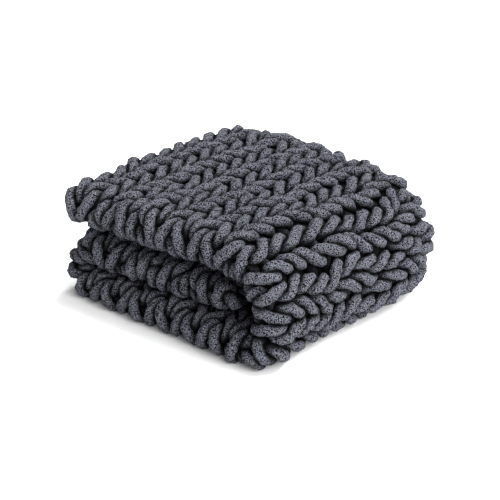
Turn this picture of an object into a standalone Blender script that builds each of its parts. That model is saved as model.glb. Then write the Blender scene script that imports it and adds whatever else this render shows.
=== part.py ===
"""A chunky knit blanket, folded for a shelf.

The cloth is folded in half along one crease, and the double leaf is then folded in thirds like a letter.
Metres, +Z up. The origin is on the floor under the middle of the folded stack. The crease is at -Y, the
full-height wrap of the letter fold is at +X, and both free edges of the cloth lie at +Y.
"""

import math
from collections import namedtuple

import bmesh
import bpy

# Driving dimensions
STACK_LENGTH = 0.618  # along X, from the left bend to the wrap
STACK_DEPTH = 0.640  # along Y, from the crease to the free edges
BEND_RADIUS = 0.038  # of the double leaf's centre line in the left bend
FOOT_RADIUS = 0.048  # where it leaves the floor for the wrap
SHOULDER_RADIUS = 0.090  # and where it turns over on top
WRAP_WALL = 0.038  # the upright stretch between those two
BEND_HALF = 0.036  # half the double leaf's thickness in the left bend
WRAP_HALF = 0.042  # and in the wrap
FLOOR_HALF = 0.035  # and under the floor leaf, whose underside is flat
LEAF_GAP = 0.004  # between the two layers of the double leaf
EDGE_ROUND = 0.010  # bevel of a free edge
INNER_END_X = 0.150  # where the double leaf starts, in the hollow of the wrap
TOP_END_X = -0.282  # and where it ends, on top

YARN_COLOR = (0.075, 0.077, 0.092, 1.0)
YARN_ROUGHNESS = 0.95

# Mesh density
FLAT_STEPS = 9  # spans along Y in each flat layer
CREASE_STEPS = 9  # spans around the crease

BEND_X = -STACK_LENGTH / 2 + BEND_RADIUS + BEND_HALF
WALL_X = STACK_LENGTH / 2 - WRAP_HALF
QUARTER = math.pi / 2

# The centre line of the double leaf in the X-Z plane, from its inner end. A section with a turn is an arc
# towards the middle of the stack, and one without runs straight.
Section = namedtuple("Section", "name length turn steps")
SECTIONS = (
    Section("inner leaf", INNER_END_X - BEND_X, 0.0, 9),
    Section("left bend", BEND_RADIUS * 2 * QUARTER, 2 * QUARTER, 8),
    Section("floor leaf", WALL_X - FOOT_RADIUS - BEND_X, 0.0, 9),
    Section("foot", FOOT_RADIUS * QUARTER, QUARTER, 5),
    Section("wall", WRAP_WALL, 0.0, 2),
    Section("shoulder", SHOULDER_RADIUS * QUARTER, QUARTER, 6),
    Section("top leaf", WALL_X - SHOULDER_RADIUS - TOP_END_X, 0.0, 10),
)

# Half the thickness of the double leaf, and how far its crease and its free edges stand in from the front
# and the back of the stack. share is the place within the section.
Leaf = namedtuple("Leaf", "section share half crease_in edge_in")
LEAVES = (
    Leaf("inner leaf", 0.0, 0.031, 0.034, 0.040),
    Leaf("inner leaf", 0.5, 0.036, 0.030, 0.030),
    Leaf("left bend", 0.0, 0.037, 0.024, 0.040),
    Leaf("left bend", 0.5, BEND_HALF, 0.024, 0.050),
    Leaf("floor leaf", 0.0, FLOOR_HALF, 0.020, 0.044),
    Leaf("floor leaf", 0.5, FLOOR_HALF, 0.008, 0.020),
    Leaf("foot", 0.0, 0.036, 0.000, 0.040),
    Leaf("wall", 0.5, WRAP_HALF, 0.008, 0.032),
    Leaf("top leaf", 0.0, 0.046, 0.008, 0.028),
    Leaf("top leaf", 0.5, 0.047, 0.002, 0.010),
    Leaf("top leaf", 1.0, 0.047, 0.004, 0.044),
)

# How high the stack stands, as a share of its full height, at places across its depth.
Height = namedtuple("Height", "depth_share left middle wrap")
HEIGHTS = (
    Height(0.0, 1.00, 0.97, 0.97),
    Height(0.3, 1.02, 1.00, 0.98),
    Height(0.6, 1.03, 1.00, 0.94),
    Height(0.8, 1.02, 1.00, 0.90),
    Height(1.0, 0.96, 0.98, 0.84),
)

# How the foot of the stack spreads under its weight.
FOOT_SPREAD = 0.028  # how far its sides bulge at the floor
SPREAD_HEIGHT = 0.070  # up to this height
SPREAD_DEPTH = 0.090  # and this far in from the sides
WRAP_LEAN = 0.012  # how far the wrap leans back at the free edges

# How the wrap is pushed in at its corner with the free edges.
CORNER_IN = 0.055  # how far, all the way up
CORNER_FOOT_IN = 0.045  # how much more at the floor
CORNER_FROM = 0.100  # from this place along Y
CORNER_RUN = 0.240  # over this far
CORNER_REACH = 0.260  # and how far in from the wrap the stack still moves with it


def smooth(share):
    """An even ease from 0 to 1."""
    share = min(max(share, 0.0), 1.0)
    return share * share * (3.0 - 2.0 * share)


def read_rows(rows, place):
    """The eased value at a place among rows of (place, value)."""
    for (low, first), (high, second) in zip(rows, rows[1:]):
        if place <= high:
            return first + (second - first) * smooth((place - low) / (high - low))
    return rows[-1][1]


def centre_line():
    """Stations along the double leaf: how far along, its place in the X-Z plane and its heading."""
    x, z, heading, along = INNER_END_X, FLOOR_HALF + 2 * BEND_RADIUS, math.pi, 0.0
    stations = [(along, x, z, heading)]
    for section in SECTIONS:
        for step in range(1, section.steps + 1):
            share = step / section.steps
            turned = heading + share * section.turn
            if section.turn:
                radius = section.length / section.turn
                next_x = x + radius * (math.sin(turned) - math.sin(heading))
                next_z = z + radius * (math.cos(heading) - math.cos(turned))
            else:
                next_x = x + share * section.length * math.cos(heading)
                next_z = z + share * section.length * math.sin(heading)
            stations.append((along + share * section.length, next_x, next_z, turned))
        x, z, heading, along = next_x, next_z, turned, along + section.length
    return stations


def leaf_rows(column):
    """One column of the leaf table as rows of (distance along the double leaf, value)."""
    starts = {}
    along = 0.0
    for section in SECTIONS:
        starts[section.name] = (along, section.length)
        along += section.length
    rows = []
    for leaf in LEAVES:
        start, length = starts[leaf.section]
        rows.append((start + leaf.share * length, getattr(leaf, column)))
    return rows


def face_line(reach, tip, half, crease_y, edge_y):
    """One face of the folded cloth, as (offset from the centre line, y).

    It runs from the free edge of the outer layer, around the crease, to the free edge of the inner layer.
    """
    crease_center = crease_y + half
    flat_end = edge_y - EDGE_ROUND
    flats = [flat_end + (crease_center - flat_end) * i / FLAT_STEPS for i in range(FLAT_STEPS + 1)]
    line = [(-tip, edge_y)] + [(-reach, y) for y in flats]
    for step in range(1, CREASE_STEPS):
        angle = math.pi * step / CREASE_STEPS
        line.append((-reach * math.cos(angle), crease_center - reach * math.sin(angle)))
    return line + [(reach, y) for y in reversed(flats)] + [(tip, edge_y)]


def side_share(place, side):
    """How near a place is to the side of the stack at that coordinate, from 0 to 1."""
    return smooth(1.0 - (side - place) / SPREAD_DEPTH)


def settle(x, y, z):
    """Lower, lean and spread a point the way the stack has slumped, with its underside flat."""
    depth_share = y / STACK_DEPTH + 0.5
    heights = []
    for place, column in ((-0.5, "left"), (0.0, "middle"), (0.5, "wrap")):
        rows = [(row.depth_share, getattr(row, column)) for row in HEIGHTS]
        heights.append((place, read_rows(rows, depth_share)))
    z = max(z, 0.0) * read_rows(heights, x / STACK_LENGTH)
    spread = FOOT_SPREAD * (1.0 - smooth(z / SPREAD_HEIGHT))
    at_wrap = side_share(x, STACK_LENGTH / 2)
    lean = WRAP_LEAN * smooth(depth_share) * at_wrap * math.cos(math.pi * min(z / (4 * SPREAD_HEIGHT), 1.0))
    at_bend = side_share(-x, STACK_LENGTH / 2)
    at_crease = side_share(-y, STACK_DEPTH / 2)
    corner = CORNER_IN + CORNER_FOOT_IN * (1.0 - smooth(z / (2 * SPREAD_HEIGHT)))
    wrapped = smooth(1.0 - (STACK_LENGTH / 2 - x) / CORNER_REACH)
    x = x - corner * wrapped * smooth((y - CORNER_FROM) / CORNER_RUN)
    return x + spread * (at_wrap - at_bend / 2) + lean, y - spread * at_crease, z


def blanket_mesh():
    """The folded cloth as one closed body: the double leaf's outline, carried along the centre line."""
    halves, creases, edges = (leaf_rows(column) for column in ("half", "crease_in", "edge_in"))
    bm = bmesh.new()
    rings = []
    for along, x, z, heading in centre_line():
        half = read_rows(halves, along)
        crease_y = -STACK_DEPTH / 2 + read_rows(creases, along)
        edge_y = STACK_DEPTH / 2 - read_rows(edges, along)
        layer = half - LEAF_GAP / 2
        middle = half - layer / 2
        outside = face_line(half, middle + layer / 4, half, crease_y, edge_y)
        inside = face_line(LEAF_GAP / 2, middle - layer / 4, half, crease_y, edge_y)
        ring = []
        for offset, y in outside + inside[::-1]:
            place = settle(x - offset * math.sin(heading), y, z + offset * math.cos(heading))
            ring.append(bm.verts.new(place))
        rings.append(ring)
    count = len(rings[0])
    for ring, following in zip(rings, rings[1:]):
        for i in range(count):
            j = (i + 1) % count
            bm.faces.new((ring[i], ring[j], following[j], following[i]))
    for ring in (rings[0], rings[-1]):
        for i in range(count // 2 - 1):
            bm.faces.new((ring[i], ring[i + 1], ring[count - 2 - i], ring[count - 1 - i]))
    bmesh.ops.recalc_face_normals(bm, faces=bm.faces)
    corners = [[pick(vert.co[axis] for vert in bm.verts) for pick in (min, max)] for axis in (0, 1)]
    centre = [(low + high) / 2 for low, high in corners]
    bmesh.ops.translate(bm, verts=bm.verts, vec=(-centre[0], -centre[1], 0.0))
    mesh = bpy.data.meshes.new("blanket")
    bm.to_mesh(mesh)
    bm.free()
    return mesh


def yarn_material():
    """Dark charcoal chenille."""
    material = bpy.data.materials.new("charcoal chenille")
    material.use_nodes = True
    shader = material.node_tree.nodes["Principled BSDF"]
    shader.inputs["Base Color"].default_value = YARN_COLOR
    shader.inputs["Roughness"].default_value = YARN_ROUGHNESS
    shader.inputs["Metallic"].default_value = 0.0
    return material


def main():
    """Clear the scene and build the blanket."""
    for leftover in list(bpy.data.objects):
        bpy.data.objects.remove(leftover, do_unlink=True)
    mesh = blanket_mesh()
    mesh.materials.append(yarn_material())
    mesh.shade_smooth()
    blanket = bpy.data.objects.new("blanket", mesh)
    bpy.context.scene.collection.objects.link(blanket)


main()
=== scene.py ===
"""Chunky knit blanket: one cloth of thick chenille, knitted loop by loop and folded for a shelf.

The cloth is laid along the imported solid's fold: in half along the crease at -Y, then in thirds like a
letter, with the full-height wrap at +X. Everything is in metres, +Z up, in the frame's own axes.
"""

import logging
import math
from dataclasses import dataclass, field

import bmesh
import bpy
import numpy as np
from mathutils import Matrix, Vector
from mathutils.kdtree import KDTree


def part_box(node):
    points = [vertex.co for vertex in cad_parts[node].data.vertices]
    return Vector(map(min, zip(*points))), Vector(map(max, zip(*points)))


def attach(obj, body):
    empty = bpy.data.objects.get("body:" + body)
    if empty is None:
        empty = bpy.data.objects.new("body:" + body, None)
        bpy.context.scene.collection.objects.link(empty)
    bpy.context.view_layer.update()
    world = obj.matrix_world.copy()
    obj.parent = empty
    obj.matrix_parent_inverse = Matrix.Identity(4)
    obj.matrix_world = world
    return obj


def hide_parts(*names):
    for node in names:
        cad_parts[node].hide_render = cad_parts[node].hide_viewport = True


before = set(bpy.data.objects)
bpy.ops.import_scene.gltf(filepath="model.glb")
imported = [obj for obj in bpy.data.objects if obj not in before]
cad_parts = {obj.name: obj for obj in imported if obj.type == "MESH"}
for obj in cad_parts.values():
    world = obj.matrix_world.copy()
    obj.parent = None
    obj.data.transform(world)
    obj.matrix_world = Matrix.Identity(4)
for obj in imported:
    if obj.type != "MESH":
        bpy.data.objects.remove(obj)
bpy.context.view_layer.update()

LOG = logging.getLogger("blanket")
NODE = "blanket"
BODY = "root"
PHASES = 7.0  # a little over a full turn, so that a wave may start anywhere


def ease(share: np.ndarray) -> np.ndarray:
    """An even ease from 0 to 1, the one that the solid's tables are read with."""
    share = np.clip(share, 0.0, 1.0)
    return share * share * (3.0 - 2.0 * share)


def read_rows(places: np.ndarray, values: np.ndarray, at: np.ndarray) -> np.ndarray:
    """Eased values between the rows of a table.

    Args:
        places: Where each row stands, in rising order.
        values: What each row says.
        at: The places to read.

    Returns:
        One value for each place in at.
    """
    index = np.clip(np.searchsorted(places, at) - 1, 0, len(places) - 2)
    share = ease((at - places[index]) / (places[index + 1] - places[index]))
    return values[index] + (values[index + 1] - values[index]) * share


def tree_of(points: np.ndarray) -> KDTree:
    """A tree that finds near points.

    Args:
        points: The points, as rows of x, y and z.

    Returns:
        The balanced tree, which knows each point by its row.
    """
    tree = KDTree(len(points))
    for index, point in enumerate(points):
        tree.insert(point, index)
    tree.balance()
    return tree


@dataclass(frozen=True)
class Section:
    """A stretch of the double leaf's centre line: straight, or an arc where it has a turn."""

    name: str
    length: float
    turn: float = 0.0


@dataclass(frozen=True)
class Leaf:
    """Half the double leaf's thickness, and how far its crease and free edges stand in, at one place."""

    section: str
    share: float
    half: float
    crease_in: float
    edge_in: float


@dataclass(frozen=True)
class Height:
    """The stack's height as a share of the full one, at one place across its depth."""

    depth_share: float
    left: float
    middle: float
    wrap: float


@dataclass
class FoldedCloth:
    """The fold that the solid has, as a map from places in the flat cloth to places in the stack."""

    stack_length: float = 0.618
    stack_depth: float = 0.640
    bend_radius: float = 0.038
    foot_radius: float = 0.048
    shoulder_radius: float = 0.090
    wrap_wall: float = 0.038
    bend_half: float = 0.036
    wrap_half: float = 0.042
    floor_half: float = 0.035
    leaf_gap: float = 0.004
    inner_end_x: float = 0.150
    top_end_x: float = -0.282
    # How the stack spreads at its foot, and how its wrap leans.
    foot_spread: float = 0.028
    spread_height: float = 0.070
    spread_depth: float = 0.090
    wrap_lean: float = 0.012
    # How far the wrap's far corner is pushed in, above and at its foot, and where.
    corner_in: float = 0.055
    corner_foot_in: float = 0.050
    corner_foot: float = 0.080
    corner_from: float = 0.100
    corner_run: float = 0.240
    corner_reach: float = 0.260
    # How far the outer layer's free edge curls in, and the inner layer's stands back.
    edge_curl: float = 1.7
    inner_edge_in: float = 0.014
    # How finely places are worked out.
    even_rounds: int = 16
    centring_grid: tuple[int, int] = (121, 61)
    shift: np.ndarray = field(default_factory=lambda: np.zeros(3))

    def __post_init__(self) -> None:
        """Work out the sections and tables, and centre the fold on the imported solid."""
        bend_x = -self.stack_length / 2 + self.bend_radius + self.bend_half
        wall_x = self.stack_length / 2 - self.wrap_half
        quarter = math.pi / 2
        self.sections = (
            Section("inner leaf", self.inner_end_x - bend_x),
            Section("left bend", self.bend_radius * 2 * quarter, 2 * quarter),
            Section("floor leaf", wall_x - self.foot_radius - bend_x),
            Section("foot", self.foot_radius * quarter, quarter),
            Section("wall", self.wrap_wall),
            Section("shoulder", self.shoulder_radius * quarter, quarter),
            Section("top leaf", wall_x - self.shoulder_radius - self.top_end_x),
        )
        self.leaves = (
            Leaf("inner leaf", 0.0, 0.031, 0.034, 0.040),
            Leaf("inner leaf", 0.5, 0.036, 0.030, 0.030),
            Leaf("left bend", 0.0, 0.037, 0.024, 0.040),
            Leaf("left bend", 0.5, self.bend_half, 0.024, 0.050),
            Leaf("floor leaf", 0.0, self.floor_half, 0.020, 0.044),
            Leaf("floor leaf", 0.5, self.floor_half, 0.008, 0.020),
            Leaf("foot", 0.0, 0.036, 0.000, 0.040),
            Leaf("wall", 0.5, self.wrap_half, 0.008, 0.032),
            Leaf("top leaf", 0.0, 0.046, 0.008, 0.028),
            Leaf("top leaf", 0.5, 0.047, 0.002, 0.010),
            Leaf("top leaf", 1.0, 0.047, 0.004, 0.044),
        )
        self.heights = (
            Height(0.0, 1.00, 0.97, 0.97),
            Height(0.3, 1.02, 1.00, 0.98),
            Height(0.6, 1.03, 1.00, 0.94),
            Height(0.8, 1.02, 1.00, 0.90),
            Height(1.0, 0.96, 0.98, 0.84),
        )
        self.lengths = np.array([section.length for section in self.sections])
        self.starts = np.concatenate(([0.0], np.cumsum(self.lengths)[:-1]))
        self.width = float(self.lengths.sum())
        self.corners = self._corners()
        names = [section.name for section in self.sections]
        self.leaf_at = np.array(
            [
                self.starts[names.index(leaf.section)] + leaf.share * self.lengths[names.index(leaf.section)]
                for leaf in self.leaves
            ]
        )
        self.shift = self._centred()

    def _corners(self) -> np.ndarray:
        """Where each section starts and which way it heads.

        Returns:
            Rows of x, z and angle.
        """
        x, z, heading = self.inner_end_x, self.floor_half + 2 * self.bend_radius, math.pi
        rows = []
        for section in self.sections:
            rows.append((x, z, heading))
            if section.turn:
                radius = section.length / section.turn
                turned = heading + section.turn
                x += radius * (math.sin(turned) - math.sin(heading))
                z += radius * (math.cos(heading) - math.cos(turned))
                heading = turned
            else:
                x += section.length * math.cos(heading)
                z += section.length * math.sin(heading)
        return np.array(rows)

    def _centred(self) -> np.ndarray:
        """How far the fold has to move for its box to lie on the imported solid's.

        Returns:
            The shift along x, y and z. It stays on the floor, so z is 0.
        """
        along_count, across_count = self.centring_grid
        along, across = np.meshgrid(
            np.linspace(0.0, self.width, along_count), np.linspace(0.0, 1.0, across_count)
        )
        points = self.place(along.ravel(), across.ravel(), np.zeros(along.size))
        low, high = (np.array(corner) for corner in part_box(NODE))
        shift = (low + high) / 2 - (points.min(axis=0) + points.max(axis=0)) / 2
        shift[2] = 0.0
        return shift

    def leaf_column(self, name: str, along: np.ndarray) -> np.ndarray:
        """One column of the leaf table, read at distances along the double leaf."""
        return read_rows(self.leaf_at, np.array([getattr(leaf, name) for leaf in self.leaves]), along)

    def centre(self, along: np.ndarray) -> tuple[np.ndarray, np.ndarray, np.ndarray]:
        """The double leaf's centre line.

        Args:
            along: Distances from its inner end.

        Returns:
            x, z and the heading at each distance.
        """
        index = np.clip(np.searchsorted(self.starts, along, side="right") - 1, 0, len(self.starts) - 1)
        x, z, heading = self.corners[index].T
        local = along - self.starts[index]
        turns = np.array([section.turn for section in self.sections])[index]
        straight = turns == 0.0
        radius = self.lengths[index] / np.where(straight, 1.0, turns)
        turned = heading + np.where(straight, 0.0, local / radius)
        run = np.where(straight, local, 0.0)
        bend = np.where(straight, 0.0, radius)
        x = x + run * np.cos(heading) + bend * (np.sin(turned) - np.sin(heading))
        z = z + run * np.sin(heading) + bend * (np.cos(heading) - np.cos(turned))
        return x, z, turned

    def even_places(self, share: np.ndarray, outer: np.ndarray) -> np.ndarray:
        """Distances along the double leaf that are evenly spaced on its outer or inner layer.

        Args:
            share: Shares of the layer's own length.
            outer: 1 for the outer layer, 0 half way between them and -1 for the inner layer.

        Returns:
            Distances along the centre line.
        """
        reach = outer * self.floor_half / 2
        along = share * self.width
        for _ in range(self.even_rounds):
            turned = self.centre(along)[2] - math.pi
            along = share * (self.width + 2 * math.pi * reach) - reach * turned
        return along

    def layer_thickness(self, along: np.ndarray) -> np.ndarray:
        """How thick one layer of cloth is at distances along the double leaf."""
        return self.leaf_column("half", along) - self.leaf_gap / 2

    def settle(self, x: np.ndarray, y: np.ndarray, z: np.ndarray) -> np.ndarray:
        """Lower, lean and spread points the way the stack has slumped.

        Args:
            x: Places along the stack, before it slumped.
            y: Places across its depth.
            z: Heights.

        Returns:
            One point in the frame for each place.
        """
        depth_share = y / self.stack_depth + 0.5
        places = np.array([row.depth_share for row in self.heights])
        left, middle, wrap = (
            read_rows(places, np.array([getattr(row, name) for row in self.heights]), depth_share)
            for name in ("left", "middle", "wrap")
        )
        side = np.clip(x / self.stack_length, -0.5, 0.5)
        near_left = left + (middle - left) * ease((side + 0.5) / 0.5)
        near_wrap = middle + (wrap - middle) * ease(side / 0.5)
        z = np.maximum(z, 0.0) * np.where(side <= 0.0, near_left, near_wrap)
        spread = self.foot_spread * (1.0 - ease(z / self.spread_height))
        at_wrap, at_bend, at_crease = (
            ease(1.0 - (reach - place) / self.spread_depth)
            for place, reach in (
                (x, self.stack_length / 2),
                (-x, self.stack_length / 2),
                (-y, self.stack_depth / 2),
            )
        )
        tip = np.cos(np.pi * np.minimum(z / (4 * self.spread_height), 1.0))
        lean = self.wrap_lean * ease(depth_share) * at_wrap * tip
        far = ease((y - self.corner_from) / self.corner_run)
        wrapped = ease(1.0 - (self.stack_length / 2 - x) / self.corner_reach)
        corner = (self.corner_in + self.corner_foot_in * (1.0 - ease(z / self.corner_foot))) * far
        x = x - corner * wrapped
        settled = (x + spread * (at_wrap - at_bend / 2) + lean, y - spread * at_crease, z)
        return np.stack(settled, axis=-1) + self.shift

    def place(self, along: np.ndarray, across: np.ndarray, depth: np.ndarray) -> np.ndarray:
        """Places in the stack for places in the cloth.

        The outer layer's free edge curls in over the inner layer's.

        Args:
            along: Distance along the double leaf from its inner end.
            across: Share of the way from the outer layer's free edge, around the crease, to the inner one's.
            depth: How far under the cloth's outer face.

        Returns:
            One point for each place.
        """
        half = self.leaf_column("half", along)
        crease_center = -self.stack_depth / 2 + self.leaf_column("crease_in", along) + half
        edge = self.stack_depth / 2 - self.leaf_column("edge_in", along)
        middle = half - self.layer_thickness(along) / 2
        curl = middle * self.edge_curl
        flat = edge - half - crease_center
        under = edge - self.inner_edge_in - crease_center
        run = across * (curl + flat + math.pi * middle + under)
        angle = np.clip((run - curl - flat) / middle, 0.0, math.pi)
        curled = np.maximum((curl - run) / middle, 0.0)
        reach = half - depth
        offset = -reach * (np.cos(curled) + np.cos(angle) - 1.0)
        ahead = np.where(run < curl + flat, np.clip(curl + flat - run, 0.0, flat), 0.0)
        behind = np.maximum(run - curl - flat - math.pi * middle, 0.0)
        y = crease_center + ahead + behind + reach * (np.sin(curled) - np.sin(angle))
        x, z, heading = self.centre(along)
        return self.settle(x - offset * np.sin(heading), y, z + offset * np.cos(heading))


@dataclass
class Knit:
    """The yarn's path through every stitch, from the cast-on at the inner layer's edge to the bind-off.

    A wale is a column of stitches and runs along the layers' depth; a course is a row of them and runs along
    the double leaf. Paths are first laid in wales, courses and depth shares, then in the stack, where the
    strands push one another aside until they lie against each other.
    """

    cloth: FoldedCloth
    wales: int = 22
    courses: int = 23
    # One stitch: how far its loop swings over, reaches towards the next course and dives to the back.
    swing: float = 0.20
    reach: float = 0.95
    dive: float = 1.9
    stitch_nodes: int = 20
    # The turns at the selvedges, and the chains of the finished edges.
    turn_out: float = 0.22
    turn_depth: float = 0.7
    turn_nodes: int = 6
    first_turn: float = 0.5
    chain_sway: float = 0.12
    chain_out: float = 0.12
    chain_rise: float = 0.42
    chain_depth: float = 0.62
    chain_dive: float = 0.40
    chain_nodes: int = 12
    edge_room: float = 0.35
    selvedge_room: float = 0.02
    # How uneven the hand that knitted it was, stitch by stitch and in slow waves, in wales and courses.
    swing_chance: float = 0.030
    along_chance: float = 0.038
    rise_chance: float = 0.090
    depth_chance: float = 0.12
    waves: int = 10
    wave_pitch: tuple[float, float] = (0.10, 0.34)
    wave_along: float = 0.036
    wave_rise: float = 0.054
    seed: int = 7
    # Where the stitches lie in the fold.
    front_depth: float = 0.0120
    back_depth: float = 0.0090
    stitch_depth: float = 0.0150
    wale_shift: float = -0.008
    wale_slope: float = 0.028
    evenness: float = 0.6
    even_from: float = 0.3
    # The crease's end of the stack, the gap under the top leaf there, and the swept corner at its foot.
    crease_from: float = 0.20
    crease_run: float = 0.10
    gap_height: float = 0.154
    gap_reach: float = 0.050
    gap_lift: float = 0.013
    gap_end_x: float = 0.22
    gap_run: float = 0.10
    gap_left_x: float = -0.31
    gap_left_run: float = 0.12
    gap_left_shut: float = 0.4
    corner_sweep: float = 0.048
    sweep_height: float = 0.085
    sweep_from_x: float = -0.02
    sweep_run: float = 0.22
    sweep_end_x: float = 0.33
    sweep_end_run: float = 0.10
    # How the strands settle against each other.
    contact: float = 0.0225
    rounds: int = 90
    pairing: int = 18
    pair_reach: float = 1.35
    pair_apart: int = 3
    tightness: float = 0.93
    push: float = 0.30
    pull: float = 0.25
    smoothing: float = 0.16
    homing: float = 0.025
    most_out: float = 0.003
    floor_room: float = 0.0120
    least_gap: float = 1e-6
    probe: float = 0.001

    def stitch(self, swing: float, reach: float) -> np.ndarray:
        """One stitch in its own shares.

        Args:
            swing: How far its loop swings over.
            reach: How far it reaches towards the courses before and after.

        Returns:
            Rows of the place along the course, towards the stitch's head, and from front to back.
        """
        angle = 2 * math.pi * np.arange(self.stitch_nodes) / self.stitch_nodes
        along = angle / (2 * math.pi) + swing * np.sin(2 * angle)
        rise = -reach * np.cos(angle)
        leg = 1.0 - np.abs(angle / math.pi - 1.0)
        depth = ((1 + np.cos(2 * math.pi * leg)) / 2) ** self.dive
        return np.stack([along, rise, depth], axis=-1)

    def turn(self, side: float, outward: float, start: float, end: float) -> np.ndarray:
        """The yarn's turn at a selvedge, between one row and the next.

        Args:
            side: The selvedge's place, in wales.
            outward: 1 or -1, the way out of the cloth.
            start: Where the turn leaves, in courses.
            end: Where it comes in again.

        Returns:
            Rows of wale, course and depth share.
        """
        angle = math.pi * (np.arange(self.turn_nodes) + 1) / (self.turn_nodes + 1)
        return np.stack(
            [
                side + outward * self.turn_out * np.sin(angle),
                start + (end - start) * (1 - np.cos(angle)) / 2,
                np.full(self.turn_nodes, self.turn_depth),
            ],
            axis=-1,
        )

    def chain(self, rise: float, outward: float) -> np.ndarray:
        """The finished edge: the yarn winds once around the loop of every wale, from the first to the last.

        Args:
            rise: The edge's place, in courses.
            outward: 1 or -1, the way out of the cloth.

        Returns:
            Rows of wale, course and depth share.
        """
        share = np.arange(self.wales * self.chain_nodes + 1) / self.chain_nodes
        angle = 2 * math.pi * share
        return np.stack(
            [
                share + self.chain_sway * np.sin(angle),
                rise + outward * (self.chain_out - self.chain_rise * np.cos(angle + math.pi)),
                self.chain_depth + self.chain_dive * np.sin(angle),
            ],
            axis=-1,
        )

    def flat_path(self) -> np.ndarray:
        """The whole yarn in the flat cloth: cast-on, courses and bind-off.

        Returns:
            Rows of wale, course and depth share.
        """
        chance = np.random.default_rng(self.seed)
        rows = [
            self.chain(-self.reach, -1.0)[::-1],
            self.turn(0.0, -1.0, -self.reach - self.first_turn, -self.reach),
        ]
        for course in range(self.courses):
            row = [
                self.stitch(self.swing + chance.normal(0, self.swing_chance), self.reach)
                + (
                    wale + chance.normal(0, self.along_chance),
                    chance.normal(0, self.rise_chance),
                    chance.normal(0, self.depth_chance),
                )
                for wale in range(self.wales)
            ]
            row.append(np.array([[self.wales, -self.reach, 1.0]]))
            points = np.concatenate(row) + (0.0, course, 0.0)
            rows.append(points[::-1] if course % 2 else points)
            side, outward = (0.0, -1.0) if course % 2 else (self.wales, 1.0)
            rows.append(self.turn(side, outward, course - self.reach, course + 1 - self.reach))
        rows.append(self.chain(self.courses - 1 + self.reach, 1.0))
        return np.concatenate(rows)

    def drift(self, flat: np.ndarray) -> np.ndarray:
        """Slow seeded waves over the flat cloth, so that neighbouring stitches wander together.

        Args:
            flat: Rows of wale, course and depth share.

        Returns:
            The same rows, moved.
        """
        chance = np.random.default_rng(self.seed + 1)
        moved = flat.copy()
        for _ in range(self.waves):
            pitch = chance.uniform(*self.wave_pitch, 2) * chance.choice((-1, 1), 2)
            wave = 2 * math.pi * (flat[:, :2] @ pitch + chance.random())
            moved[:, 0] += chance.normal(0, self.wave_along) * np.sin(wave)
            moved[:, 1] += chance.normal(0, self.wave_rise) * np.cos(wave)
        return moved

    def to_stack(self, flat: np.ndarray, lift: float = 0.0) -> np.ndarray:
        """Places in the stack for points in the flat cloth.

        Args:
            flat: Rows of wale, course and depth share.
            lift: How far to lift them off the cloth.

        Returns:
            One point for each row.
        """
        share = np.clip(flat[:, 0] / self.wales, -self.selvedge_room, 1.0 + self.selvedge_room)
        first, last = -self.reach - self.edge_room, self.courses - 1 + self.reach + self.edge_room
        across = (last - flat[:, 1]) / (last - first)
        shift = self.wale_shift - self.wale_slope * np.clip(1.0 - 2.0 * across, 0.0, 1.0)
        outer = self.evenness * np.clip((1.0 - 2.0 * across) / self.even_from, -1, 1)
        along = self.cloth.even_places(share, outer)
        along += shift * np.sin(math.pi * np.clip(share, 0.0, 1.0)) ** 2
        thickness = self.cloth.layer_thickness(along)
        depth = self.front_depth + flat[:, 2] * (thickness - self.front_depth - self.back_depth)
        return self.sweep_corner(self.part_leaves(self.cloth.place(along, across, depth - lift)))

    def part_leaves(self, places: np.ndarray) -> np.ndarray:
        """Open the dark gap under the top leaf's roll, along the crease, and shut it at its left end.

        Args:
            places: Points in the stack.

        Returns:
            The points, raised or lowered.
        """
        x, y, z = places.T
        height = (z - self.gap_height) / self.gap_reach
        near = ease((-y - self.crease_from) / self.crease_run) * ease((self.gap_end_x - x) / self.gap_run)
        from_left = ease((x - self.gap_left_x) / self.gap_left_run)
        near *= (1.0 + self.gap_left_shut) * from_left - self.gap_left_shut
        moved = places.copy()
        moved[:, 2] += self.gap_lift * near * np.sign(height) * np.exp(-(height**2))
        return moved

    def sweep_corner(self, places: np.ndarray) -> np.ndarray:
        """Draw the lowest strands of the crease towards the wrap, where the cloth turns up from the floor.

        Args:
            places: Points in the stack.

        Returns:
            The points, drawn along x.
        """
        x, y, z = places.T
        near = ease((-y - self.crease_from) / self.crease_run)
        near *= ease((x - self.sweep_from_x) / self.sweep_run)
        near *= ease((self.sweep_end_x - x) / self.sweep_end_run)
        moved = places.copy()
        moved[:, 0] += self.corner_sweep * near * np.clip(1.0 - z / self.sweep_height, 0.0, 1.0)
        return moved

    def near_pairs(self, points: np.ndarray, reach: float, apart: int) -> tuple[np.ndarray, np.ndarray]:
        """Pairs of points that are near each other and not neighbours in the yarn.

        Args:
            points: The yarn's nodes.
            reach: The longest distance between two of a pair.
            apart: How many places in the yarn a pair has to stand apart.

        Returns:
            The first and the second node of each pair.
        """
        tree = tree_of(points)
        first, second = [], []
        for index, point in enumerate(points):
            for _, other, _ in tree.find_range(point, reach):
                if other > index + apart:
                    first.append(index)
                    second.append(other)
        return np.array(first), np.array(second)

    def push_apart(self, points: np.ndarray, first: np.ndarray, second: np.ndarray) -> None:
        """Push nodes that press on each other apart.

        Args:
            points: The yarn's nodes, which are moved.
            first: The first node of each near pair.
            second: The second node of each near pair.
        """
        gap = points[second] - points[first]
        distance = np.linalg.norm(gap, axis=1)
        pressed = np.clip(self.contact - distance, 0.0, None)
        push = self.push * pressed / np.maximum(distance, self.least_gap)
        move = gap * push[:, None]
        for axis in range(3):
            points[:, axis] += np.bincount(second, move[:, axis], len(points))
            points[:, axis] -= np.bincount(first, move[:, axis], len(points))

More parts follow.
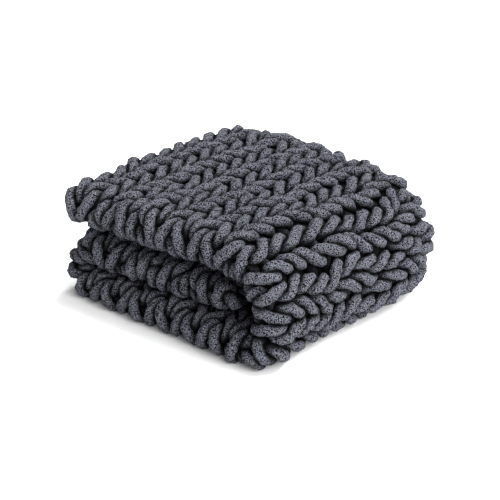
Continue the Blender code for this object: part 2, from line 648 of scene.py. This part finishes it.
    def draw_tight(self, points: np.ndarray, rest: np.ndarray) -> None:
        """Draw the yarn towards its own length, and smooth its bends.

        Args:
            points: The yarn's nodes, which are moved.
            rest: How long the yarn is at rest from each node to the next.
        """
        step = np.diff(points, axis=0)
        length = np.linalg.norm(step, axis=1)
        pull = step * (self.pull * (length - rest) / length)[:, None]
        points[:-1] += pull
        points[1:] -= pull
        points[1:-1] += self.smoothing * ((points[:-2] + points[2:]) / 2 - points[1:-1])

    def hold_home(self, points: np.ndarray, home: np.ndarray, outward: np.ndarray) -> None:
        """Keep the nodes near their places in the cloth, under its face and off the floor.

        Args:
            points: The yarn's nodes, which are moved.
            home: The nodes' places in the cloth.
            outward: The way out of the cloth at each node.
        """
        points += self.homing * (home - points)
        out = np.einsum("ij,ij->i", points - home, outward)
        points -= outward * np.clip(out - self.most_out, 0.0, None)[:, None]
        points[:, 2] = np.maximum(points[:, 2], self.floor_room)

    def relaxed(self) -> tuple[np.ndarray, np.ndarray, np.ndarray]:
        """Let the strands push one another aside.

        Returns:
            The yarn's nodes in the stack, the way out of the cloth at each, and its depth under the face.
        """
        flat = self.drift(self.flat_path())
        home = self.to_stack(flat)
        outward = self.to_stack(flat, lift=self.probe) - home
        outward /= np.linalg.norm(outward, axis=1, keepdims=True)
        points = home.copy()
        rest = self.tightness * np.linalg.norm(np.diff(points, axis=0), axis=1)
        for turn in range(self.rounds):
            if turn % self.pairing == 0:
                first, second = self.near_pairs(points, self.pair_reach * self.contact, self.pair_apart)
            self.push_apart(points, first, second)
            self.draw_tight(points, rest)
            self.hold_home(points, home, outward)
        from_selvedge = np.minimum(flat[:, 0], self.wales - flat[:, 0])
        from_end = np.minimum(flat[:, 1] + self.reach, self.courses - 1 + self.reach - flat[:, 1])
        inside = ease(np.minimum(from_selvedge, from_end))
        sunk = self.front_depth + flat[:, 2] * self.stitch_depth
        return points, outward, inside * (sunk - np.einsum("ij,ij->i", points - home, outward))


@dataclass
class Skin:
    """The yarn's plush skin: a tube round the path that lies flat where strands press on each other."""

    radius: float = 0.0115
    sides: int = 16
    ring_step: float = 0.0052
    # Where it meets its neighbours. The near reach and the most and least limits are in radii.
    seam: float = 0.0009
    bulge: float = 1.03
    softness: float = 5.0
    own_reach: float = 0.046
    near_reach: float = 2.3
    least_facing: float = 1e-5
    most: float = 10.0
    least: float = 0.25
    evening_rounds: int = 3
    evening: float = 0.7
    batch: int = 200_000
    # How the painted shade gathers between the strands and under the cloth's face.
    pressed: float = 1.06
    free: float = 2.00
    lit_depth: float = 0.006
    dark_depth: float = 0.022
    deepest: float = 0.98
    # How uneven the yarn is.
    plump_pitches: tuple[float, ...] = (0.35, 0.19, 0.11, 0.061)
    plump_height: float = 0.022
    lump_waves: int = 12
    lump_pitch: tuple[float, float] = (0.009, 0.017)
    lump_height: float = 0.0011
    lump_spread: float = 2.5
    seed: int = 11

    def rings(self, nodes: np.ndarray, values: np.ndarray) -> tuple[np.ndarray, np.ndarray]:
        """Evenly spaced rings on a smooth curve through the nodes.

        Args:
            nodes: The path's nodes.
            values: What is known at each node, as one row for each.

        Returns:
            The rings' centres, and the values there.
        """
        chords = np.linalg.norm(np.diff(nodes, axis=0), axis=1)
        distance = np.concatenate(([0.0], np.cumsum(chords)))
        count = int(round(distance[-1] / self.ring_step))
        at = np.linspace(0.0, distance[-1], count + 1)
        index = np.clip(np.searchsorted(distance, at, side="right") - 1, 0, len(nodes) - 2)
        share = ((at - distance[index]) / chords[index])[:, None]
        padded = np.concatenate([nodes[:1], nodes, nodes[-1:]])
        before, start, end, after = (padded[index + k] for k in range(4))
        centres = 0.5 * (
            2 * start
            + (end - before) * share
            + (2 * before - 5 * start + 4 * end - after) * share**2
            + (3 * start - 3 * end + after - before) * share**3
        )
        return centres, values[index] * (1.0 - share) + values[index + 1] * share

    def frames(self, centres: np.ndarray) -> tuple[np.ndarray, np.ndarray]:
        """Two side directions for each ring, carried along the yarn without twist.

        Args:
            centres: The rings' centres.

        Returns:
            The first and the second direction at each ring.
        """
        tangents = np.gradient(centres, axis=0)
        tangents /= np.linalg.norm(tangents, axis=1, keepdims=True)
        side = Vector(tangents[0]).orthogonal().normalized()
        last = Vector(tangents[0])
        sides = np.empty_like(centres)
        for index, tangent in enumerate(tangents):
            now = Vector(tangent)
            side.rotate(last.rotation_difference(now))
            side = (side - now * side.dot(now)).normalized()
            sides[index] = side
            last = now
        return sides, np.cross(tangents, sides)

    def neighbours(self, centres: np.ndarray) -> tuple[np.ndarray, np.ndarray]:
        """Rings that stand near each other in different strands, every other one of them.

        Args:
            centres: The rings' centres.

        Returns:
            The ring and its neighbour for each pair, in the rings' order.
        """
        tree = tree_of(centres)
        apart = int(self.own_reach / self.ring_step)
        ring_of, other_of = [], []
        for index, centre in enumerate(centres):
            near = [
                other
                for _, other, _ in tree.find_range(centre, self.near_reach * self.radius)
                if abs(other - index) > apart and other % 2 == 0
            ]
            ring_of.extend([index] * len(near))
            other_of.extend(near)
        return np.array(ring_of), np.array(other_of)

    def limits(self, centres: np.ndarray, spokes: np.ndarray) -> np.ndarray:
        """How far each spoke reaches before it meets the plane half way to a neighbouring strand.

        Args:
            centres: The rings' centres.
            spokes: Each ring's spoke directions.

        Returns:
            One distance for each ring and spoke.
        """
        ring_of, other_of = self.neighbours(centres)
        limit = np.full(spokes.shape[:2], self.most * self.radius)
        for low in range(0, len(ring_of), self.batch):
            ring = ring_of[low : low + self.batch]
            gap = centres[other_of[low : low + self.batch]] - centres[ring]
            square = np.einsum("ij,ij->i", gap, gap)
            facing = np.einsum("ikj,ij->ik", spokes[ring], gap)
            half_way = square[:, None] / (2 * np.maximum(facing, self.least_facing))
            reach = np.where(facing > self.least_facing, half_way, math.inf)
            starts = np.flatnonzero(np.concatenate(([True], ring[1:] != ring[:-1])))
            least = np.minimum.reduceat(reach, starts, axis=0)
            limit[ring[starts]] = np.minimum(limit[ring[starts]], least)
        return limit - self.seam

    def radii(self, centres: np.ndarray, spokes: np.ndarray) -> tuple[np.ndarray, np.ndarray]:
        """The skin's distance from the path along each spoke, and the painted light share that comes from
        how open it is there.

        Args:
            centres: The rings' centres.
            spokes: Each ring's spoke directions.

        Returns:
            The distances, and the painted light share: 0, full painted shade, where strands press on each
            other, up to 1 where the skin is free.
        """
        chance = np.random.default_rng(self.seed)
        along = np.arange(len(centres)) * self.ring_step
        plump = np.ones(len(centres))
        for pitch in self.plump_pitches:
            plump += self.plump_height * np.sin(2 * math.pi * along / pitch + chance.uniform(0, PHASES))
        limit = np.maximum(self.limits(centres, spokes), self.least * self.radius)
        scale = plump * self.radius
        for _ in range(self.evening_rounds):
            area = np.sqrt((self.held(scale, limit) ** 2).mean(axis=1))
            even = scale * (plump * self.radius / area) ** self.evening
            scale = np.minimum(even, self.bulge * plump * self.radius)
        # Painted shade where the skin presses on a neighbouring strand, none where it is free.
        painted_light_share = ease((limit / self.radius - self.pressed) / (self.free - self.pressed))
        return self.blurred(self.held(scale, limit)), self.blurred(painted_light_share)

    def held(self, scale: np.ndarray, limit: np.ndarray) -> np.ndarray:
        """Each ring's own size, softly held back by the limit on each of its spokes."""
        return (scale[:, None] ** -self.softness + limit**-self.softness) ** (-1 / self.softness)

    def blurred(self, values: np.ndarray) -> np.ndarray:
        """Values evened out along the yarn.

        Args:
            values: One value for each ring and spoke.

        Returns:
            The same, with every ring mixed with its two neighbours.
        """
        even = values.copy()
        even[1:-1] = (values[:-2] + 2 * values[1:-1] + values[2:]) / 4
        return even

    def surface(
        self, nodes: np.ndarray, outward: np.ndarray, depths: np.ndarray
    ) -> tuple[np.ndarray, np.ndarray]:
        """The yarn's surface.

        Args:
            nodes: The path's nodes.
            outward: The way out of the cloth at each node.
            depths: How far each node lies under the cloth's face.

        Returns:
            Every ring's points, as rings by sides by x, y and z, and the painted light share at each:
            painted shade where strands press together and where the skin lies deep under the cloth's face.
        """
        centres, values = self.rings(nodes, np.column_stack([outward, depths]))
        across, up = self.frames(centres)
        angle = 2 * math.pi * np.arange(self.sides) / self.sides
        spokes = (
            across[:, None, :] * np.cos(angle)[None, :, None] + up[:, None, :] * np.sin(angle)[None, :, None]
        )
        radii, painted_light_share = self.radii(centres, spokes)
        skin = centres[:, None, :] + spokes * radii[..., None]
        skin += spokes * (self.lump_height * self.lumps(skin))[..., None]
        skin[..., 2] = np.maximum(skin[..., 2], 0.0)
        # Painted shade that deepens the further the skin lies under the cloth's face.
        rise = np.einsum("ikj,ij->ik", skin - centres[:, None, :], values[:, :3])
        buried = (values[:, 3:] - rise - self.lit_depth) / (self.dark_depth - self.lit_depth)
        return skin, painted_light_share * (1.0 - self.deepest * ease(buried))

    def lumps(self, places: np.ndarray) -> np.ndarray:
        """Small seeded lumps in space.

        Args:
            places: The points to read them at.

        Returns:
            One height for each point, mostly between -2 and 2.
        """
        chance = np.random.default_rng(self.seed + 1)
        total = np.zeros(places.shape[:-1])
        for _ in range(self.lump_waves):
            pitch = chance.normal(0, 1, 3)
            pitch *= 2 * math.pi / (np.linalg.norm(pitch) * chance.uniform(*self.lump_pitch))
            total += np.sin(places @ pitch + chance.uniform(0, PHASES))
        return total / self.lump_spread


@dataclass(frozen=True)
class ChenilleFinish:
    """Dark plush chenille: light tufts on a dark ground, with painted shade in the tufts' pits, painted
    highlight on their tops, and near-black painted shade between the strands.
    """

    name: str = "charcoal chenille"
    painted_shade_mask: str = "painted_light_share"
    # The near-black painted shade, mixed in where strands press together and deep under the cloth's face.
    root: tuple[float, float, float] = (0.0015, 0.0015, 0.002)
    # The pit colour is painted shade in the hollows between tufts; the fleck colour is partly the pile's own
    # lighter tone and partly painted highlight on the tufts' tops.
    pit_shade: tuple[float, float, float] = (0.002, 0.002, 0.003)
    pile: tuple[float, float, float] = (0.0235, 0.0245, 0.0310)
    fleck_and_highlight: tuple[float, float, float] = (0.190, 0.197, 0.237)
    roughness: float = 0.95
    specular: float = 0.05
    sheen: float = 0.02
    sheen_roughness: float = 0.5
    # The tufts: their pitch, the bump's depth, and how cells and noise are mixed into one height.
    tuft: float = 0.0024
    depth: float = 0.0035
    cell_weight: float = -1.2
    cell_lift: float = 0.60
    noise_scale: float = 1.6
    noise_detail: float = 1.0
    noise_roughness: float = 0.6
    pit_shade_at: float = 0.27
    pile_at: float = 0.42
    fleck_and_highlight_at: float = 0.68

    def build(self) -> bpy.types.Material:
        """Make the yarn's material.

        Returns:
            The material.
        """
        material = bpy.data.materials.new(self.name)
        material.use_nodes = True
        nodes, links = material.node_tree.nodes, material.node_tree.links
        shader = nodes["Principled BSDF"]
        shader.inputs["Roughness"].default_value = self.roughness
        shader.inputs["Specular IOR Level"].default_value = self.specular
        shader.inputs["Sheen Weight"].default_value = self.sheen
        shader.inputs["Sheen Roughness"].default_value = self.sheen_roughness
        tufts = self.tufts(material.node_tree)
        links.new(self.colour(material.node_tree, tufts), shader.inputs["Base Color"])
        bump = nodes.new("ShaderNodeBump")
        bump.inputs["Strength"].default_value = 1.0
        bump.inputs["Distance"].default_value = self.depth
        links.new(tufts, bump.inputs["Height"])
        links.new(bump.outputs["Normal"], shader.inputs["Normal"])
        return material

    def colour(self, tree: bpy.types.ShaderNodeTree, tufts: bpy.types.NodeSocket) -> bpy.types.NodeSocket:
        """Add the yarn's colours: painted shade in the pits, the pile, and flecks that are partly the pile's
        tone and partly painted highlight, by the tufts' height; then near-black painted shade where strands
        press and deep under the cloth's face.

        Args:
            tree: The material's nodes.
            tufts: The socket that gives the tufts' height.

        Returns:
            The socket that gives the colour.
        """
        nodes, links = tree.nodes, tree.links
        # Painted shade low in the tufts and painted highlight on their tops, by the tufts' height, around
        # the pile's own colour.
        ramp = nodes.new("ShaderNodeValToRGB")
        ramp.color_ramp.elements[0].position = self.pit_shade_at
        ramp.color_ramp.elements[0].color = (*self.pit_shade, 1.0)
        ramp.color_ramp.elements[1].position = self.fleck_and_highlight_at
        ramp.color_ramp.elements[1].color = (*self.fleck_and_highlight, 1.0)
        middle = ramp.color_ramp.elements.new(self.pile_at)
        middle.color = (*self.pile, 1.0)
        links.new(tufts, ramp.inputs["Fac"])
        # Painted shade: the near-black colour is mixed in by the painted light share stored on the yarn.
        painted_shade_mask = nodes.new("ShaderNodeAttribute")
        painted_shade_mask.attribute_name = self.painted_shade_mask
        shaded = nodes.new("ShaderNodeMix")
        shaded.data_type = "RGBA"
        shaded.inputs["A"].default_value = (*self.root, 1.0)
        links.new(painted_shade_mask.outputs["Fac"], shaded.inputs["Factor"])
        links.new(ramp.outputs["Color"], shaded.inputs["B"])
        return shaded.outputs["Result"]

    def tufts(self, tree: bpy.types.ShaderNodeTree) -> bpy.types.NodeSocket:
        """Add the pattern of tufts to the material.

        Args:
            tree: The material's nodes.

        Returns:
            The socket that gives the tufts' height.
        """
        nodes, links = tree.nodes, tree.links
        place = nodes.new("ShaderNodeTexCoord")
        cells = nodes.new("ShaderNodeTexVoronoi")
        cells.inputs["Scale"].default_value = 1 / self.tuft
        links.new(place.outputs["Object"], cells.inputs["Vector"])
        noise = nodes.new("ShaderNodeTexNoise")
        noise.inputs["Scale"].default_value = self.noise_scale / self.tuft
        noise.inputs["Detail"].default_value = self.noise_detail
        noise.inputs["Roughness"].default_value = self.noise_roughness
        links.new(place.outputs["Object"], noise.inputs["Vector"])
        scaled = nodes.new("ShaderNodeMath")
        scaled.operation = "MULTIPLY_ADD"
        scaled.inputs[1].default_value = self.cell_weight
        scaled.inputs[2].default_value = self.cell_lift
        links.new(cells.outputs["Distance"], scaled.inputs[0])
        tufts = nodes.new("ShaderNodeMath")
        tufts.operation = "ADD"
        links.new(noise.outputs["Fac"], tufts.inputs[0])
        links.new(scaled.outputs["Value"], tufts.inputs[1])
        return tufts.outputs["Value"]


@dataclass(frozen=True)
class FloorFinish:
    """The floor's plain matt white."""

    name: str = "floor white"
    white: float = 0.95
    roughness: float = 0.9

    def build(self) -> bpy.types.Material:
        """Make the floor's material.

        Returns:
            The material.
        """
        material = bpy.data.materials.new(self.name)
        material.use_nodes = True
        shader = material.node_tree.nodes["Principled BSDF"]
        shader.inputs["Base Color"].default_value = (self.white, self.white, self.white, 1.0)
        shader.inputs["Roughness"].default_value = self.roughness
        return material


@dataclass
class KnitBlanket:
    """The whole cloth as one yarn, cut into a few pieces of equal length."""

    knit: Knit
    skin: Skin
    finish: ChenilleFinish
    pieces: int = 6
    fill: float = 0.5
    weld: float = 1e-7

    def build(self) -> list[bpy.types.Object]:
        """Make the yarn's pieces.

        Returns:
            The pieces, from the cast-on to the bind-off.
        """
        surface, painted_light_share = self.skin.surface(*self.knit.relaxed())
        material = self.finish.build()
        cuts = np.linspace(0, len(surface) - 1, self.pieces + 1).round().astype(int)
        runs = [slice(start, end + 1) for start, end in zip(cuts[:-1], cuts[1:])]
        return [
            self.piece(f"yarn_{index + 1}", surface[run], painted_light_share[run], material)
            for index, run in enumerate(runs)
        ]

    def tube(self, name: str, surface: np.ndarray, painted_light_share: np.ndarray) -> bpy.types.Mesh:
        """One closed tube from a run of rings.

        Args:
            name: The mesh's name.
            surface: Its points, as rings by sides by x, y and z.
            painted_light_share: The painted light share at each point, low where shade is painted.

        Returns:
            The smooth mesh, which carries the painted light share at each of its points.
        """
        rings, sides = surface.shape[:2]
        tube = bmesh.new()
        bmesh.ops.create_grid(tube, x_segments=rings - 1, y_segments=sides, size=1.0)
        # The painted shade mask, stored on the points for the yarn's material.
        painted_shade_mask = tube.verts.layers.float.new(self.finish.painted_shade_mask)
        for vert in tube.verts:
            ring = round((vert.co.x + 1) / 2 * (rings - 1))
            side = round((vert.co.y + 1) / 2 * sides) % sides
            vert.co = surface[ring, side]
            vert[painted_shade_mask] = painted_light_share[ring, side]
        bmesh.ops.remove_doubles(tube, verts=tube.verts, dist=self.weld)
        ends = [edge for edge in tube.edges if edge.is_boundary]
        bmesh.ops.edgeloop_fill(tube, edges=ends)
        bmesh.ops.recalc_face_normals(tube, faces=tube.faces)
        mesh = bpy.data.meshes.new(name)
        tube.to_mesh(mesh)
        tube.free()
        mesh.shade_smooth()
        return mesh

    def piece(
        self, name: str, surface: np.ndarray, painted_light_share: np.ndarray, material: bpy.types.Material
    ) -> bpy.types.Object:
        """One piece of the yarn, finished and tied to the part.

        Args:
            name: The piece's name.
            surface: Its points, as rings by sides by x, y and z.
            painted_light_share: The painted light share at each point, low where shade is painted.
            material: The yarn's material.

        Returns:
            The finished piece.
        """
        mesh = self.tube(name, surface, painted_light_share)
        mesh.materials.append(material)
        piece = bpy.data.objects.new(name, mesh)
        bpy.context.scene.collection.objects.link(piece)
        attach(piece, BODY)
        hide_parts(NODE)
        return piece


@dataclass(frozen=True)
class Lamp:
    """A broad, even light: the direction it comes from, its strength, and its width in degrees."""

    name: str
    source: tuple[float, float, float]
    power: float
    width: float

    def build(self) -> None:
        """Add the light."""
        lamp = bpy.data.lights.new(self.name, "SUN")
        lamp.energy = self.power
        lamp.angle = math.radians(self.width)
        holder = bpy.data.objects.new(self.name, lamp)
        holder.rotation_euler = Vector(self.source).to_track_quat("Z", "Y").to_euler()
        bpy.context.scene.collection.objects.link(holder)


@dataclass
class Studio:
    """A white floor, soft light from above and the camera that looks down along the crease corner."""

    lens: float = 121.6
    pitch: float = 22.6
    azimuth: float = 41.33
    camera_at: tuple[float, float, float] = (2.2080, -2.5340, 1.4937)
    floor_reach: float = 30.0
    floor_finish: FloorFinish = FloorFinish()
    surround: float = 0.30
    lamps: tuple[Lamp, ...] = (
        Lamp("key", (0.3, 0.7, 1.3), 6.9, 45.0),
        Lamp("side", (1.4, -0.45, 0.8), 4.6, 50.0),
    )

    def build(self) -> None:
        """Add the floor, world, lights and camera."""
        self.floor()
        self.world()
        for lamp in self.lamps:
            lamp.build()
        self.camera()

    def floor(self) -> None:
        """Add a plain white floor."""
        slab = bmesh.new()
        bmesh.ops.create_grid(slab, x_segments=1, y_segments=1, size=self.floor_reach)
        mesh = bpy.data.meshes.new("floor")
        slab.to_mesh(mesh)
        slab.free()
        mesh.materials.append(self.floor_finish.build())
        floor = bpy.data.objects.new("floor", mesh)
        bpy.context.scene.collection.objects.link(floor)

    def world(self) -> None:
        """Add even white surroundings, and show colours as they are."""
        world = bpy.data.worlds.new("studio")
        world.use_nodes = True
        world.node_tree.nodes["Background"].inputs["Color"].default_value = (1.0, 1.0, 1.0, 1.0)
        world.node_tree.nodes["Background"].inputs["Strength"].default_value = self.surround
        bpy.context.scene.world = world
        bpy.context.scene.view_settings.view_transform = "Standard"

    def camera(self) -> None:
        """Add the camera."""
        lens = bpy.data.cameras.new("camera")
        lens.lens = self.lens
        holder = bpy.data.objects.new("camera", lens)
        turn = Matrix.Rotation(math.radians(self.azimuth), 4, "Z")
        tilt = Matrix.Rotation(math.radians(90.0 - self.pitch), 4, "X")
        holder.matrix_world = Matrix.Translation(self.camera_at) @ turn @ tilt
        bpy.context.scene.collection.objects.link(holder)
        bpy.context.scene.camera = holder


def main() -> None:
    """Build the blanket and its studio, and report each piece."""
    logging.basicConfig(level=logging.INFO)
    pieces = KnitBlanket(Knit(FoldedCloth()), Skin(), ChenilleFinish()).build()
    Studio().build()
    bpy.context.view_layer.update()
    for piece in pieces:
        LOG.info("%s: %d faces", piece.name, len(piece.data.polygons))


if __name__ == "__main__":
    main()
